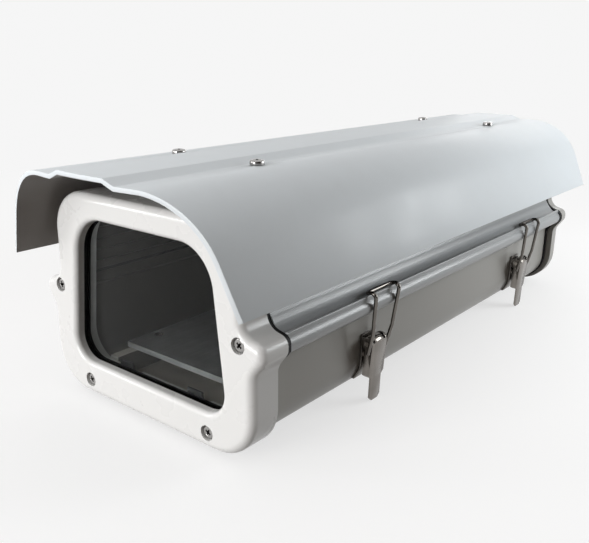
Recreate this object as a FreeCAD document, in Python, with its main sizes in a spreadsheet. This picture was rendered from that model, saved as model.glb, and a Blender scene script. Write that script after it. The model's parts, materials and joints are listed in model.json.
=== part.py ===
import FreeCAD, Part
import math
import os
import re
import Sketcher
from FreeCAD import Vector

# Outdoor security camera housing with a side-opening lid, a sunshield and two wire latches.
# Frame: +Y runs to the rear, +X is the latch side, +Z is up.
# The origin is on the underside of the foot rail, at the middle of its bracket holes.
# Sections are drawn around Level, the height of the side screws.

os.makedirs("parts", exist_ok=True)
doc = FreeCAD.newDocument("CameraHousing")
sheet = doc.addObject("Spreadsheet::Sheet", "Size")

SIZES = {
    # overall
    "RailTall": 2.5,
    "HalfLong": 178.5,
    "BezelDeep": 17.0,
    "CapDeep": 11.0,
    "GasketThick": 2.5,
    "SlideGap": 0.05,
    # outline of the bezel and the rear cap
    "TopRise": 51.0,
    "UpperInset": 1.5,
    "NeckRise": 4.4,
    "EarOut": 10.7,
    "EarRise": 1.6,
    "EarDrop": 5.2,
    "UnderEar": 13.0,
    "SideOut": 5.0,
    "BaseDrop": 56.0,
    "UpperRound": 21.0,
    "FlareRound": 8.0,
    "EarRound": 5.0,
    "LowRound": 23.0,
    "EdgeRound": 4.0,
    # window in the bezel
    "WinUnderTop": 12.5,
    "WinOverBase": 18.0,
    "WinTopInset": 20.0,
    "WinLowInset": 10.9,
    "WinTopRound": 20.0,
    "WinLowRound": 12.0,
    "RevealRound": 2.6,
    "SeatDeep": 5.4,
    "SeatGrow": 4.0,
    "LipThick": 0.8,
    "GlassThick": 4.0,
    "GlassGrow": 2.4,
    "LipGrow": 0.6,
    "GasketFit": 0.05,
    # screws of the bezel and the rear cap
    "SideScrewInset": 2.7,
    "LowScrewInset": 22.7,
    "LowScrewLift": 8.1,
    "ScrewRad": 1.7,
    "ScrewFit": 0.05,
    "HeadRad": 3.3,
    "HeadTall": 2.4,
    "RecessRad": 3.8,
    "RecessDeep": 3.2,
    "ScrewReach": 9.0,
    "HeadRound": 0.9,
    "CrossLong": 4.2,
    "CrossWide": 0.9,
    "CrossDeep": 1.3,
    # glass clips
    "ClipX": 25.0,
    "ClipHalf": 5.0,
    "ClipThick": 1.2,
    "ClipLap": 6.0,
    "ClipOut": 4.9,
    "ClipRoom": 0.6,
    "ClipHeadRoom": 1.0,
    "ClipScrewOut": 3.0,
    "CutLap": 0.5,
    "SmallRad": 1.45,
    "SmallHead": 2.7,
    "SmallHeadTall": 1.8,
    "SmallLong": 5.0,
    "SinkDeep": 1.25,
    "SinkRim": 0.05,
    # lid
    "LidUnderTop": 2.0,
    "LidInset": 3.0,
    "LidWall": 2.5,
    "LidRound": 22.0,
    "FlareTop": 10.5,
    "FlareOut": 2.1,
    "FlareLow": 3.0,
    "LidFlare": 10.0,
    "BeadOut": 5.1,
    "BeadDrop": 3.2,
    "BeadRad": 4.8,
    "BeadSink": 0.1,
    "WebOut": 0.6,
    "HookOut": 2.4,
    "HookWide": 1.4,
    "HookTop": 2.8,
    "HookRound": 0.6,
    "RibTall": 0.9,
    "RibWide": 1.6,
    "RibFirst": 8.0,
    "RibPitch": 6.0,
    # tray
    "TrayHalf": 65.5,
    "TrayWall": 2.5,
    "TrayOverBase": 2.0,
    "TrayRound": 19.0,
    "RimTop": 2.4,
    "RimLow": 3.0,
    "RimWide": 5.7,
    "SealTall": 1.6,
    "SealInset": 0.5,
    "RailHalf": 25.0,
    "PostHalf": 3.0,
    "PostOverBase": 16.0,
    # bracket holes in the foot rail
    "BoltX": 15.0,
    "BoltY": 35.0,
    "BoltRad": 3.0,
    "BoltDeep": 6.0,
    "TripodRad": 3.175,
    # lid pivots
    "PivotRad": 2.0,
    "PivotFit": 0.05,
    "PressFit": 0.01,
    "PinGap": 0.2,
    "PivotDeep": 11.0,
    "PivotReach": 14.0,
    "CapPivotDeep": 7.5,
    # openings of the rear gasket and the cap
    "RingUnderTop": 7.6,
    "RingWall": 8.6,
    "RingStepLift": 14.0,
    "RingStepInset": 28.0,
    "RingOverBase": 5.5,
    "RingRound": 17.0,
    "CapPocket": 7.0,
    "RingInset": 0.5,
    "GasketLap": 0.8,
    "GasketToe": 3.0,
    # sunshield
    "SheetThick": 2.0,
    "ShieldOverTop": 17.0,
    "ShieldStep": 2.6,
    "StripHalf": 15.5,
    "StepRun": 6.5,
    "StepShift": 0.4,
    "SkirtOut": 13.5,
    "SkirtZ": 18.3,
    "SkirtSlope": 0.406,
    "ShieldBend": 40.0,
    "ShieldNose": 27.7,
    "NoseBow": 14.0,
    "ShieldPast": 22.6,
    "ShieldScrewX": 27.0,
    "ShieldScrewFront": 52.8,
    "ShieldScrewBack": 50.0,
    "StudRad": 2.0,
    "PanRad": 4.0,
    "PanTall": 2.6,
    "PanRound": 1.2,
    "SpacerRad": 5.5,
    "WasherRad": 6.5,
    "WasherTall": 1.0,
    "NutFlats": 7.0,
    "NutTall": 3.2,
    "ThreadPast": 1.0,
    # latches
    "FrontLatch": 94.0,
    "RearLatchBack": 73.0,
    "PinOut": 4.9,
    "PinDrop": 25.5,
    "PinRad": 1.25,
    "BailOut": 6.5,
    "BailDrop": 30.1,
    "WireRad": 1.0,
    "WireFit": 0.05,
    "WireY": 8.05,
    "WireTopY": 11.0,
    "WireBend": 1.2,
    "WireInner": 5.8,
    "BarOut": 1.0,
    "BarRise": 3.6,
    "BarBend": 1.5,
    "ShoulderOut": 6.8,
    "ShoulderRise": 5.0,
    "ShoulderBend": 2.6,
    "KneeOut": 9.6,
    "KneeDrop": 18.0,
    "KneeY": 9.0,
    "LeverHalf": 6.8,
    "LeverSheet": 1.1,
    "LeverRound": 3.4,
    "LeverLow": 45.0,
    "LeverLowOut": 2.0,
    "LeverBack": 4.4,
    "LeverChamfer": 2.0,
    "CheekFoot": 1.6,
    "CheekBack": 1.0,
    "TabHalf": 4.8,
    "TabOut": 1.6,
    "TabDrop": 58.0,
    "PlateThick": 1.2,
    "PlateHalf": 5.6,
    "PlateTop": 21.5,
    "TailDrop": 47.5,
    "EarRoom": 0.3,
    "EarDisc": 2.1,
    "RivetY": 2.6,
    "RivetLift": 2.6,
    "RivetRad": 1.55,
    "RivetHead": 2.4,
    "RivetTall": 0.8,
    # camera plate
    "PlateInset": 17.5,
    "CameraPlate": 3.0,
    "PlateFront": 30.0,
    "PlateBack": 35.0,
    "SlotHalf": 3.4,
    "SlotFront": 70.0,
    "SlotBack": 107.0,
    "PlateScrewFront": 48.0,
    "PlateScrewBack": 53.0,
    # cable glands
    "GlandX": 27.0,
    "GlandDrop": 20.0,
    "GlandRad": 8.0,
    "GlandFlats": 22.0,
    "GlandFlange": 4.5,
    "GlandNeck": 7.2,
    "GlandNeckTall": 6.0,
    "DomeTall": 14.0,
    "DomeGap": 0.8,
    "DomeFlats": 21.0,
    "DomeRad": 10.0,
    "DomeRound": 3.5,
    "GlandHole": 3.6,
    "GlandRelief": 1.0,
    "SealRad": 4.95,
    "SealFit": 0.05,
    "LockTall": 3.4,
}

# places worked out from the sizes above
PLACES = {
    "Level": "BaseDrop + RailTall",
    "UpperHalf": "TrayHalf - UpperInset",
    "EarHalf": "TrayHalf + EarOut",
    "SideHalf": "TrayHalf + SideOut",
    "WinTop": "TopRise - WinUnderTop",
    "WinDrop": "BaseDrop - WinOverBase",
    "WinTopHalf": "TrayHalf - WinTopInset",
    "WinLowHalf": "TrayHalf - WinLowInset",
    "SideScrewX": "TrayHalf - SideScrewInset",
    "LowScrewX": "TrayHalf - LowScrewInset",
    "LowScrewZ": "BaseDrop - LowScrewLift",
    "LidTop": "TopRise - LidUnderTop",
    "LidHalf": "TrayHalf - LidInset",
    "FlareX": "TrayHalf + FlareOut",
    "BeadX": "TrayHalf + BeadOut",
    "WebInner": "TrayHalf + WebOut",
    "HookX": "BeadX + HookOut",
    "TrayDrop": "BaseDrop - TrayOverBase",
    "RimInner": "TrayHalf - RimWide",
    "SealInner": "RimInner + SealInset",
    "SealOuter": "TrayHalf - SealInset",
    "PostTop": "BaseDrop - PostOverBase",
    "RingTop": "TopRise - RingUnderTop",
    "RingHalf": "TrayHalf - RingWall",
    "RingStep": "BaseDrop - RingStepLift",
    "RingLowHalf": "TrayHalf - RingStepInset",
    "RingLow": "BaseDrop - RingOverBase",
    "ShieldTop": "TopRise + ShieldOverTop",
    "SkirtX": "TrayHalf + SkirtOut",
    "ShieldRear": "2 * HalfLong + ShieldPast",
    "ShieldScrewRear": "2 * HalfLong - ShieldScrewBack",
    "RearLatch": "2 * HalfLong - RearLatchBack",
    "PinX": "TrayHalf + PinOut",
    "BailX": "TrayHalf + BailOut",
    "BarX": "BeadX + BarOut",
    "ShoulderX": "BeadX + ShoulderOut",
    "KneeX": "TrayHalf + KneeOut",
    "LeverLowX": "PinX + LeverLowOut",
    "TabX": "PinX + TabOut",
    "PlateDrop": "TrayDrop - TrayRound",
    "RivetDrop": "PlateDrop - RivetLift",
    "PlateWide": "TrayHalf - PlateInset",
    "PlateRear": "2 * HalfLong - PlateBack",
    "SlotRear": "2 * HalfLong - SlotBack",
    "PlateScrewRear": "2 * HalfLong - PlateScrewBack",
}

for row, (alias, number) in enumerate(SIZES.items(), start=1):
    sheet.set("A%d" % row, alias)
    sheet.set("B%d" % row, str(number))
    sheet.setAlias("B%d" % row, alias)
doc.recompute()

NODES = []


def word(text):
    """Turn plain size words into an expression that reads the sheet."""

    def swap(match):
        name = match[0]
        if name in PLACES:
            return "( %s )" % word(PLACES[name])
        return "Size." + name if name in SIZES else name

    return re.sub("[A-Za-z]+", swap, text)


def value(text):
    return float(sheet.evalExpression(word(text)))


def bind(item, path, text):
    item.setExpression(path, word(text))


def new_body(label, along="-HalfLong", node=True):
    body = doc.addObject("PartDesign::Body", label)
    body.Label = label
    body.AllowCompound = True
    bind(body, ".Placement.Base.y", along)
    bind(body, ".Placement.Base.z", "Level")
    if node:
        NODES.append(body)
    return body


def cut(label, base, tool):
    """A node that is one body less another."""
    item = doc.addObject("Part::Cut", label)
    item.Label = label
    item.Base = base
    item.Tool = tool
    settle(item)
    NODES.append(item)
    return item


def origin_plane(body, role):
    for item in body.Origin.OriginFeatures:
        if item.Role == role:
            return item
    raise ValueError(role)


def mirrored(points):
    """Right-hand points followed by their mirror images, as one closed loop."""
    left = [("-(%s)" % x, z) for x, z in reversed(points)]
    return points + left


def rectangle(low_x, high_x, low_z, high_z):
    return [(low_x, low_z), (high_x, low_z), (high_x, high_z), (low_x, high_z)]


def sketch(body, role, loops, depth=None):
    """A sketch of closed polygons and circles whose points are bound to the sheet."""
    item = body.newObject("Sketcher::SketchObject", body.Name + "Sketch")
    item.AttachmentSupport = [(origin_plane(body, role), "")]
    item.MapMode = "FlatFace"
    if depth is not None:
        sign = "-" if role == "XZ_Plane" else ""
        bind(item, ".AttachmentOffset.Base.z", "%s(%s)" % (sign, depth))
    geometry = []
    constraints = []
    bindings = []

    def fix(kind, index, position, text):
        number = value(text)
        constraints.append(Sketcher.Constraint(kind, -1, 1, index, position, number))
        bindings.append((len(constraints) - 1, text))

    for loop in loops:
        if isinstance(loop, tuple):
            x, z, radius = loop
            index = len(geometry)
            centre = Vector(value(x), value(z), 0)
            geometry.append(Part.Circle(centre, Vector(0, 0, 1), value(radius)))
            fix("DistanceX", index, 3, x)
            fix("DistanceY", index, 3, z)
            constraints.append(Sketcher.Constraint("Radius", index, value(radius)))
            bindings.append((len(constraints) - 1, radius))
            continue
        first = len(geometry)
        spots = [Vector(value(x), value(z), 0) for x, z in loop]
        for place, (x, z) in enumerate(loop):
            following = (place + 1) % len(loop)
            geometry.append(Part.LineSegment(spots[place], spots[following]))
            fix("DistanceX", first + place, 1, x)
            fix("DistanceY", first + place, 1, z)
            constraints.append(
                Sketcher.Constraint("Coincident", first + place, 2, first + following, 1)
            )
    item.addGeometry(geometry, False)
    item.addConstraint(constraints)
    for index, text in bindings:
        bind(item, "Constraints[%d]" % index, text)
    return item


def settle(item):
    """Recompute, and stop at a feature that did not come out as one valid shape."""
    doc.recompute()
    if "Invalid" in item.State or item.Shape.isNull() or not item.Shape.isValid():
        raise RuntimeError("%s: %s" % (item.Name, item.getStatusString()))


def extrude(body, kind, outline, length, backward=False, middle=False):
    item = body.newObject("PartDesign::" + kind, body.Name + kind)
    item.Profile = outline
    bind(item, "Length", length)
    item.Midplane = middle
    along_normal = outline.AttachmentSupport[0][0].Role != "XZ_Plane"
    if kind == "Pad":
        item.Reversed = along_normal == backward
    else:
        item.Reversed = along_normal != backward
    outline.Visibility = False
    body.Tip = item
    settle(item)
    return item


def pad(body, loops, length, depth=None, role="XZ_Plane", middle=False, backward=False):
    return extrude(body, "Pad", sketch(body, role, loops, depth), length, backward, middle)


def pocket(body, loops, length, depth=None, role="XZ_Plane", middle=False, backward=False):
    before = body.Shape.Volume
    item = extrude(body, "Pocket", sketch(body, role, loops, depth), length, backward, middle)
    if body.Shape.Volume > before - 0.01:
        raise RuntimeError("nothing cut: " + item.Name)
    return item


def edges(feature, test):
    names = []
    for index, edge in enumerate(feature.Shape.Edges, start=1):
        if test(edge):
            names.append("Edge%d" % index)
    if not names:
        raise RuntimeError("no edge: " + feature.Name)
    return names


def round_edges(body, test, radius):
    base = body.Tip
    item = body.newObject("PartDesign::Fillet", body.Name + "Fillet")
    item.Base = (base, edges(base, test))
    bind(item, "Radius", radius)
    body.Tip = item
    settle(item)
    return item


def bevel_edges(body, test, size):
    base = body.Tip
    item = body.newObject("PartDesign::Chamfer", body.Name + "Chamfer")
    item.Base = (base, edges(base, test))
    bind(item, "Size", size)
    body.Tip = item
    settle(item)
    return item


def round_corners(body, points, radius):
    """Round the edges along Y that pass through the given section points, on both sides."""
    spots = [(value(x), value(z)) for x, z in points]

    def test(edge):
        box = edge.BoundBox
        if box.YLength < 0.5 or box.XLength > 0.01 or box.ZLength > 0.01:
            return False
        return any(
            abs(abs(box.XMin) - x) < 0.02 and abs(box.ZMin - z) < 0.02 for x, z in spots
        )

    return round_edges(body, test, radius)


def flat_edges(depth, inner=None):
    """Test for edges that lie across the length at this depth, within inner if given."""
    level = value(depth)

    def test(edge):
        box = edge.BoundBox
        if box.YLength > 0.01 or abs(box.YMin - level) > 0.01:
            return False
        wide = max(abs(box.XMin), abs(box.XMax))
        tall = max(abs(box.ZMin), abs(box.ZMax))
        return inner is None or (wide < inner[0] and tall < inner[1])

    return test


SECTION = [
    ("UpperHalf", "TopRise"),
    ("UpperHalf", "NeckRise"),
    ("EarHalf", "EarRise"),
    ("EarHalf", "-EarDrop"),
    ("SideHalf", "-UnderEar"),
    ("SideHalf", "-BaseDrop"),
]
SCREWS = [
    ("SideScrewX", "0"),
    ("-SideScrewX", "0"),
    ("LowScrewX", "-LowScrewZ"),
    ("-LowScrewX", "-LowScrewZ"),
]


def circles(spots, radius):
    return [(x, z, radius) for x, z in spots]


def end_casting(label, along, deep):
    """The outer block that the bezel and the rear cap share."""
    body = new_body(label, along)
    pad(body, [mirrored(SECTION)], deep)
    round_corners(body, [SECTION[0]], "UpperRound")
    round_corners(body, [SECTION[1], SECTION[4]], "FlareRound")
    round_corners(body, [SECTION[2], SECTION[3]], "EarRound")
    round_corners(body, [SECTION[5]], "LowRound")
    return body


def window(grow):
    """Window outline moved outwards by grow, its sides leaning at the same angle."""
    lean = "( WinLowHalf - WinTopHalf ) / ( WinTop + WinDrop )"
    long = "sqrt(1 + ( %s ) ^ 2 )" % lean
    top = "WinTopHalf + ( %s ) * ( %s - %s )" % (grow, long, lean)
    low = "WinLowHalf + ( %s ) * ( %s + %s )" % (grow, long, lean)
    return [(top, "WinTop + %s" % grow), (low, "-WinDrop - ( %s )" % grow)]


def round_window(body, grow):
    corners = window(grow)
    for corner, radius in zip(corners, ["WinTopRound", "WinLowRound"]):
        round_corners(body, [corner], "%s + %s" % (radius, grow))


# front bezel, a die casting with ears, a framed window and recessed screws
def make_bezel():
    body = end_casting("front_bezel", "-HalfLong", "BezelDeep")
    round_edges(body, flat_edges("0"), "EdgeRound")
    pocket(body, [mirrored(window("0"))], "BezelDeep")
    round_window(body, "0")
    round_edges(body, flat_edges("0", (value("WinLowHalf") + 0.1, value("WinTop") + 0.1)), "RevealRound")
    pocket(body, [mirrored(window("SeatGrow"))], "BezelDeep", depth="SeatDeep")
    round_window(body, "SeatGrow")
    pocket(body, circles(SCREWS, "RecessRad"), "RecessDeep")
    pocket(body, circles(SCREWS, "ScrewRad + ScrewFit"), "BezelDeep", depth="RecessDeep")
    half = "ClipHalf + ClipRoom"
    rooms = []
    for side in ("ClipX", "-ClipX"):
        low = "%s - ( %s )" % (side, half)
        high = "%s + ( %s )" % (side, half)
        top = "WinTop + SeatGrow"
        base = "-WinDrop - SeatGrow"
        rooms.append(rectangle(low, high, top + " - CutLap", top + " + ClipOut + ClipHeadRoom"))
        rooms.append(rectangle(low, high, base + " - ClipOut - ClipHeadRoom", base + " + CutLap"))
    pocket(body, rooms, "BezelDeep", depth="SeatDeep + 2 * LipThick + GlassThick")
    pocket(body, circles(clip_screws(), "SmallRad + ScrewFit"), "SmallLong",
           depth="SeatDeep + 2 * LipThick + GlassThick - SmallLong + ClipThick")
    pocket(body, [("-BeadX", "-BeadDrop", "PivotRad + PressFit")], "PivotDeep",
           depth="BezelDeep - PivotDeep")
    return body


def clip_screws():
    spots = []
    for side in ("ClipX", "-ClipX"):
        spots.append((side, "WinTop + SeatGrow + ClipScrewOut"))
        spots.append((side, "-WinDrop - SeatGrow - ClipScrewOut"))
    return spots


# pane and its wrap-around gasket, seated from behind
def make_window():
    body = new_body("window_glass")
    pad(body, [mirrored(window("GlassGrow"))], "GlassThick", depth="SeatDeep + LipThick")
    round_window(body, "GlassGrow")
    ring = new_body("gasket_ring", node=False)
    grow = "SeatGrow - GasketFit"
    pad(ring, [mirrored(window(grow))], "GlassThick + 2 * LipThick", depth="SeatDeep")
    round_window(ring, grow)
    bore = new_body("gasket_bore", node=False)
    pad(bore, [mirrored(window("LipGrow"))], "GlassThick + 2 * LipThick", depth="SeatDeep")
    round_window(bore, "LipGrow")
    pad(bore, [mirrored(window("GlassGrow"))], "GlassThick", depth="SeatDeep + LipThick")
    round_window(bore, "GlassGrow")
    cut("window_gasket", ring, bore)


def make_clips():
    back = "SeatDeep + 2 * LipThick + GlassThick"
    body = new_body("glass_clips")
    plates = []
    for side in ("ClipX", "-ClipX"):
        low = "%s - ClipHalf" % side
        high = "%s + ClipHalf" % side
        top = "WinTop + SeatGrow"
        base = "-WinDrop - SeatGrow"
        plates.append(rectangle(low, high, top + " - ClipLap", top + " + ClipOut"))
        plates.append(rectangle(low, high, base + " - ClipOut", base + " + ClipLap"))
    pad(body, plates, "ClipThick", depth=back)
    pocket(body, circles(clip_screws(), "SmallRad + ScrewFit"), "ClipThick", depth=back)
    body = new_body("glass_clip_screws")
    pad(body, circles(clip_screws(), "SmallHead"), "SmallHeadTall", depth=back + " + ClipThick")
    pad(body, circles(clip_screws(), "SmallRad"), "SmallLong",
        depth=back + " + ClipThick - SmallLong")


def cross_recess(body, spots, depth, backward, role="XZ_Plane"):
    """Two crossed slots in each screw head."""
    long_bar = []
    tall_bar = []
    for x, z in spots:
        across = "CrossLong / 2"
        thin = "CrossWide / 2"
        long_bar.append(rectangle("%s - %s" % (x, across), "%s + %s" % (x, across),
                                  "%s - %s" % (z, thin), "%s + %s" % (z, thin)))
        tall_bar.append(rectangle("%s - %s" % (x, thin), "%s + %s" % (x, thin),
                                  "%s - %s" % (z, across), "%s + %s" % (z, across)))
    pocket(body, long_bar, "CrossDeep", depth=depth, role=role, backward=backward)
    pocket(body, tall_bar, "CrossDeep", depth=depth, role=role, backward=backward)


# recessed cross-head screws, four at each end
def make_end_screws():
    body = new_body("bezel_screws")
    pad(body, circles(SCREWS, "HeadRad"), "HeadTall", depth="RecessDeep - HeadTall")
    round_edges(body, flat_edges("RecessDeep - HeadTall"), "HeadRound")
    pad(body, circles(SCREWS, "ScrewRad"), "BezelDeep + ScrewReach - RecessDeep",
        depth="RecessDeep")
    cross_recess(body, SCREWS, "RecessDeep - HeadTall", False)
    rear = "2 * HalfLong - RecessDeep"
    body = new_body("rear_cap_screws")
    pad(body, circles(SCREWS, "HeadRad"), "HeadTall", depth=rear)
    round_edges(body, flat_edges(rear + " + HeadTall"), "HeadRound")
    pad(body, circles(SCREWS, "ScrewRad"), "CapDeep - RecessDeep + GasketThick + ScrewReach",
        depth=rear, backward=True)
    cross_recess(body, SCREWS, rear + " + HeadTall", True)


RING = [
    ("RingHalf", "RingTop"),
    ("RingHalf", "-RingStep"),
    ("RingLowHalf", "-RingStep"),
    ("RingLowHalf", "-RingLow"),
]


# rear cap and the full gasket ring in front of it
def make_rear_cap():
    body = end_casting("rear_cap", "HalfLong - CapDeep", "CapDeep")
    round_edges(body, flat_edges("CapDeep"), "EdgeRound")
    pocket(body, [mirrored(RING)], "CapPocket")
    round_corners(body, [RING[0]], "RingRound")
    pocket(body, circles(SCREWS, "RecessRad"), "RecessDeep", depth="CapDeep - RecessDeep")
    pocket(body, circles(SCREWS, "ScrewRad + ScrewFit"), "CapDeep")
    glands = [("GlandX", "-GlandDrop"), ("-GlandX", "-GlandDrop")]
    pocket(body, circles(glands, "GlandRad + ScrewFit"), "CapDeep")
    pocket(body, [("-BeadX", "-BeadDrop", "PivotRad + PressFit")], "CapPivotDeep")
    body = new_body("rear_gasket", "HalfLong - CapDeep - GasketThick")
    rim = [
        ("LidHalf + GasketLap", "LidTop + GasketLap"),
        ("LidHalf + GasketLap", "NeckRise"),
        ("EarHalf - RingInset", "EarRise - RingInset"),
        ("EarHalf - RingInset", "-EarDrop"),
        ("TrayHalf + GasketLap", "-UnderEar"),
        ("TrayHalf + GasketLap", "-TrayDrop - GasketLap"),
    ]
    pad(body, [mirrored(rim)], "GasketThick")
    round_corners(body, [rim[0]], "UpperRound")
    round_corners(body, [rim[1], rim[4]], "FlareRound")
    round_corners(body, [rim[2], rim[3]], "EarRound - 1")
    round_corners(body, [rim[5]], "TrayRound + GasketLap")
    pocket(body, [mirrored(RING)], "GasketThick")
    round_corners(body, [RING[0]], "RingRound")
    holes = circles(SCREWS, "ScrewRad + ScrewFit")
    holes.append(("-BeadX", "-BeadDrop", "PivotRad + PivotFit"))
    pocket(body, holes, "GasketThick")


# lid, an extrusion with an arched roof, flared edges, beads and hook ribs
def make_lid():
    start = "BezelDeep + GasketThick + SlideGap"
    long = "2 * HalfLong - CapDeep - BezelDeep - 2 * GasketThick - 2 * SlideGap"
    body = new_body("lid")
    seat = "RimTop + SealTall"
    half = [
        ("LidHalf", "LidTop"),
        ("LidHalf", "FlareTop"),
        ("FlareX", "FlareLow"),
        ("BeadX", "BeadRad - BeadDrop - BeadSink"),
        ("BeadX", "-BeadDrop"),
        ("WebInner", "-BeadDrop"),
        ("WebInner", "RimTop"),
        ("SealOuter", seat),
        ("LidHalf - LidWall", seat),
        ("LidHalf - LidWall", "LidTop - LidWall"),
    ]
    pad(body, [mirrored(half)], long, depth=start)
    round_corners(body, [half[9]], "LidRound - LidWall")
    round_corners(body, [half[0]], "LidRound")
    round_corners(body, [half[1], half[2]], "LidFlare")
    beads = [("BeadX", "-BeadDrop"), ("-BeadX", "-BeadDrop")]
    pad(body, circles(beads, "BeadRad"), long, depth=start)
    hooks = []
    for sign in ("", "-"):
        middle = sign + "HookX"
        hooks.append(rectangle(middle + " - HookWide / 2", middle + " + HookWide / 2",
                               "0", "HookTop"))
    pad(body, hooks, long, depth=start)
    top_corners = [("HookX - HookWide / 2", "HookTop"), ("HookX + HookWide / 2", "HookTop")]
    round_corners(body, top_corners, "HookRound")
    ribs = []
    for count in range(4):
        middle = "RibFirst + %d * RibPitch" % count
        for sign in ("", "-"):
            wall = sign + "( LidHalf - LidWall )"
            tall = "- RibTall" if sign == "" else "+ RibTall"
            out = "+ CutLap" if sign == "" else "- CutLap"
            ribs.append([(wall + out, middle + " - RibWide / 2"),
                         (wall + out, middle + " + RibWide / 2"),
                         (wall + tall, middle + " + RibWide / 2"),
                         (wall + tall, middle + " - RibWide / 2")])
    pad(body, ribs, long, depth=start)
    pocket(body, circles(beads, "PivotRad + PivotFit"), long, depth=start)
    pocket(body, circles(shield_spots(), "StudRad + ScrewFit"), "2 * LidWall",
           depth="LidTop - 2 * LidWall", role="XY_Plane")


def shield_spots():
    spots = []
    for side in ("ShieldScrewX", "-ShieldScrewX"):
        for along in ("ShieldScrewFront", "ShieldScrewRear"):
            spots.append((side, along))
    return spots


# arched gasket between the bezel and the lid
def make_front_gasket():
    body = new_body("front_gasket", "BezelDeep - HalfLong")
    half = [
        ("LidHalf + GasketLap", "LidTop + GasketLap"),
        ("LidHalf + GasketLap", "NeckRise"),
        ("EarHalf - RingInset", "EarRise - RingInset / 2"),
        ("EarHalf - RingInset", "-EarDrop"),
        ("BeadX + GasketToe", "-BeadDrop - BeadRad"),
        ("WebInner - PinGap", "-BeadDrop - BeadRad"),
        ("WebInner - PinGap", "RimTop"),
        ("RimInner", "RimTop"),
        ("RimInner", "LidTop - LidWall"),
    ]
    pad(body, [mirrored(half)], "GasketThick")
    round_corners(body, [half[8]], "LidRound - LidWall")
    round_corners(body, [half[0]], "LidRound")
    round_corners(body, [half[1]], "FlareRound")
    round_corners(body, [half[2]], "EarRound - 1")
    pocket(body, [("-BeadX", "-BeadDrop", "PivotRad + PivotFit")], "GasketThick")


# tray, an extrusion with screw ports, posts for the camera plate and a foot rail
def make_tray():
    long = "2 * HalfLong - CapDeep - GasketThick - BezelDeep"
    body = new_body("tray")
    outer = [
        ("TrayHalf", "-TrayDrop"),
        ("RailHalf", "-TrayDrop"),
        ("RailHalf", "-Level"),
    ]
    inner = [
        ("RimInner", "RimTop"),
        ("RimInner", "-RimLow"),
        ("TrayHalf - TrayWall", "-RimLow - TrayWall"),
        ("TrayHalf - TrayWall", "TrayWall - TrayDrop"),
    ]
    right = [("TrayHalf", "RimTop")] + outer
    left = [("-(%s)" % x, z) for x, z in reversed(right)]
    inside = [("-(%s)" % x, z) for x, z in inner] + list(reversed(inner))
    pad(body, [right + left + inside], long, depth="BezelDeep")
    round_corners(body, [inner[3]], "TrayRound - TrayWall")
    round_corners(body, [("TrayHalf", "-TrayDrop")], "TrayRound")
    posts = []
    for sign in ("", "-"):
        middle = sign + "LowScrewX"
        posts.append(rectangle(middle + " - PostHalf", middle + " + PostHalf",
                               "-TrayDrop + TrayWall / 2", "-PostTop"))
    pad(body, posts, long, depth="BezelDeep")
    pocket(body, circles(SCREWS, "ScrewRad + ScrewFit"), long, depth="BezelDeep")
    bolts = []
    for x in ("BoltX", "-BoltX"):
        for y in ("HalfLong - BoltY", "HalfLong + BoltY"):
            bolts.append((x, y, "BoltRad"))
    bolts.append(("0", "HalfLong", "TripodRad"))
    pocket(body, bolts, "BoltDeep", depth="-Level", role="XY_Plane")
    pocket(body, [(x, y, "SmallRad + ScrewFit") for x, y in plate_spots()], "SmallLong",
           depth="-PostTop - SmallLong", role="XY_Plane")
    rivets = [(y, "-RivetDrop", "RivetRad + ScrewFit") for y in rivet_spots()]
    pocket(body, rivets, "2 * TrayWall", depth="TrayHalf - 1.5 * TrayWall", role="YZ_Plane")


def rivet_spots():
    spots = []
    for latch in ("FrontLatch", "RearLatch"):
        spots.append("%s - RivetY" % latch)
        spots.append("%s + RivetY" % latch)
    return spots


def plate_spots():
    spots = []
    for side in ("LowScrewX", "-LowScrewX"):
        for along in ("PlateScrewFront", "PlateScrewRear"):
            spots.append((side, along))
    return spots


def make_rim_seals():
    for label, sign in (("right_rim_seal", ""), ("left_rim_seal", "-")):
        body = new_body(label)
        loop = [(sign + "SealInner", "RimTop"), (sign + "SealOuter", "RimTop"),
                (sign + "SealOuter", "RimTop + SealTall"), (sign + "SealInner", "RimTop + SealTall")]
        pad(body, [loop], "2 * HalfLong - CapDeep - BezelDeep - 2 * GasketThick - 2 * SlideGap",
            depth="BezelDeep + GasketThick + SlideGap")


# sunshield, one folded sheet with a joggled middle strip, big arcs and a bowed front edge
def make_shield():
    body = new_body("sunshield")
    shoulder = "ShieldTop - ShieldStep"
    cosine = "sqrt(1 + SkirtSlope ^ 2 )"
    corner = "SkirtX - ( %s - SkirtZ ) * SkirtSlope" % shoulder
    under = "SkirtX - ( %s - SheetThick - SkirtZ ) * SkirtSlope - SheetThick * %s" % (
        shoulder, cosine)
    outer = [
        ("StripHalf", "ShieldTop"),
        ("StripHalf + StepRun", shoulder),
        (corner, shoulder),
        ("SkirtX", "SkirtZ"),
    ]
    inner = [
        ("SkirtX - SheetThick / %s" % cosine, "SkirtZ - SheetThick * SkirtSlope / %s" % cosine),
        (under, shoulder + " - SheetThick"),
        ("StripHalf + StepRun - StepShift", shoulder + " - SheetThick"),
        ("StripHalf - StepShift", "ShieldTop - SheetThick"),
    ]
    pad(body, [mirrored(outer + inner)], "ShieldRear + ShieldNose", depth="-ShieldNose")
    round_corners(body, [inner[1]], "ShieldBend - SheetThick")
    round_corners(body, [outer[2]], "ShieldBend")
    round_corners(body, [outer[0], outer[1], inner[2], inner[3]], "SheetThick")
    cut_shield_nose(body)


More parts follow.
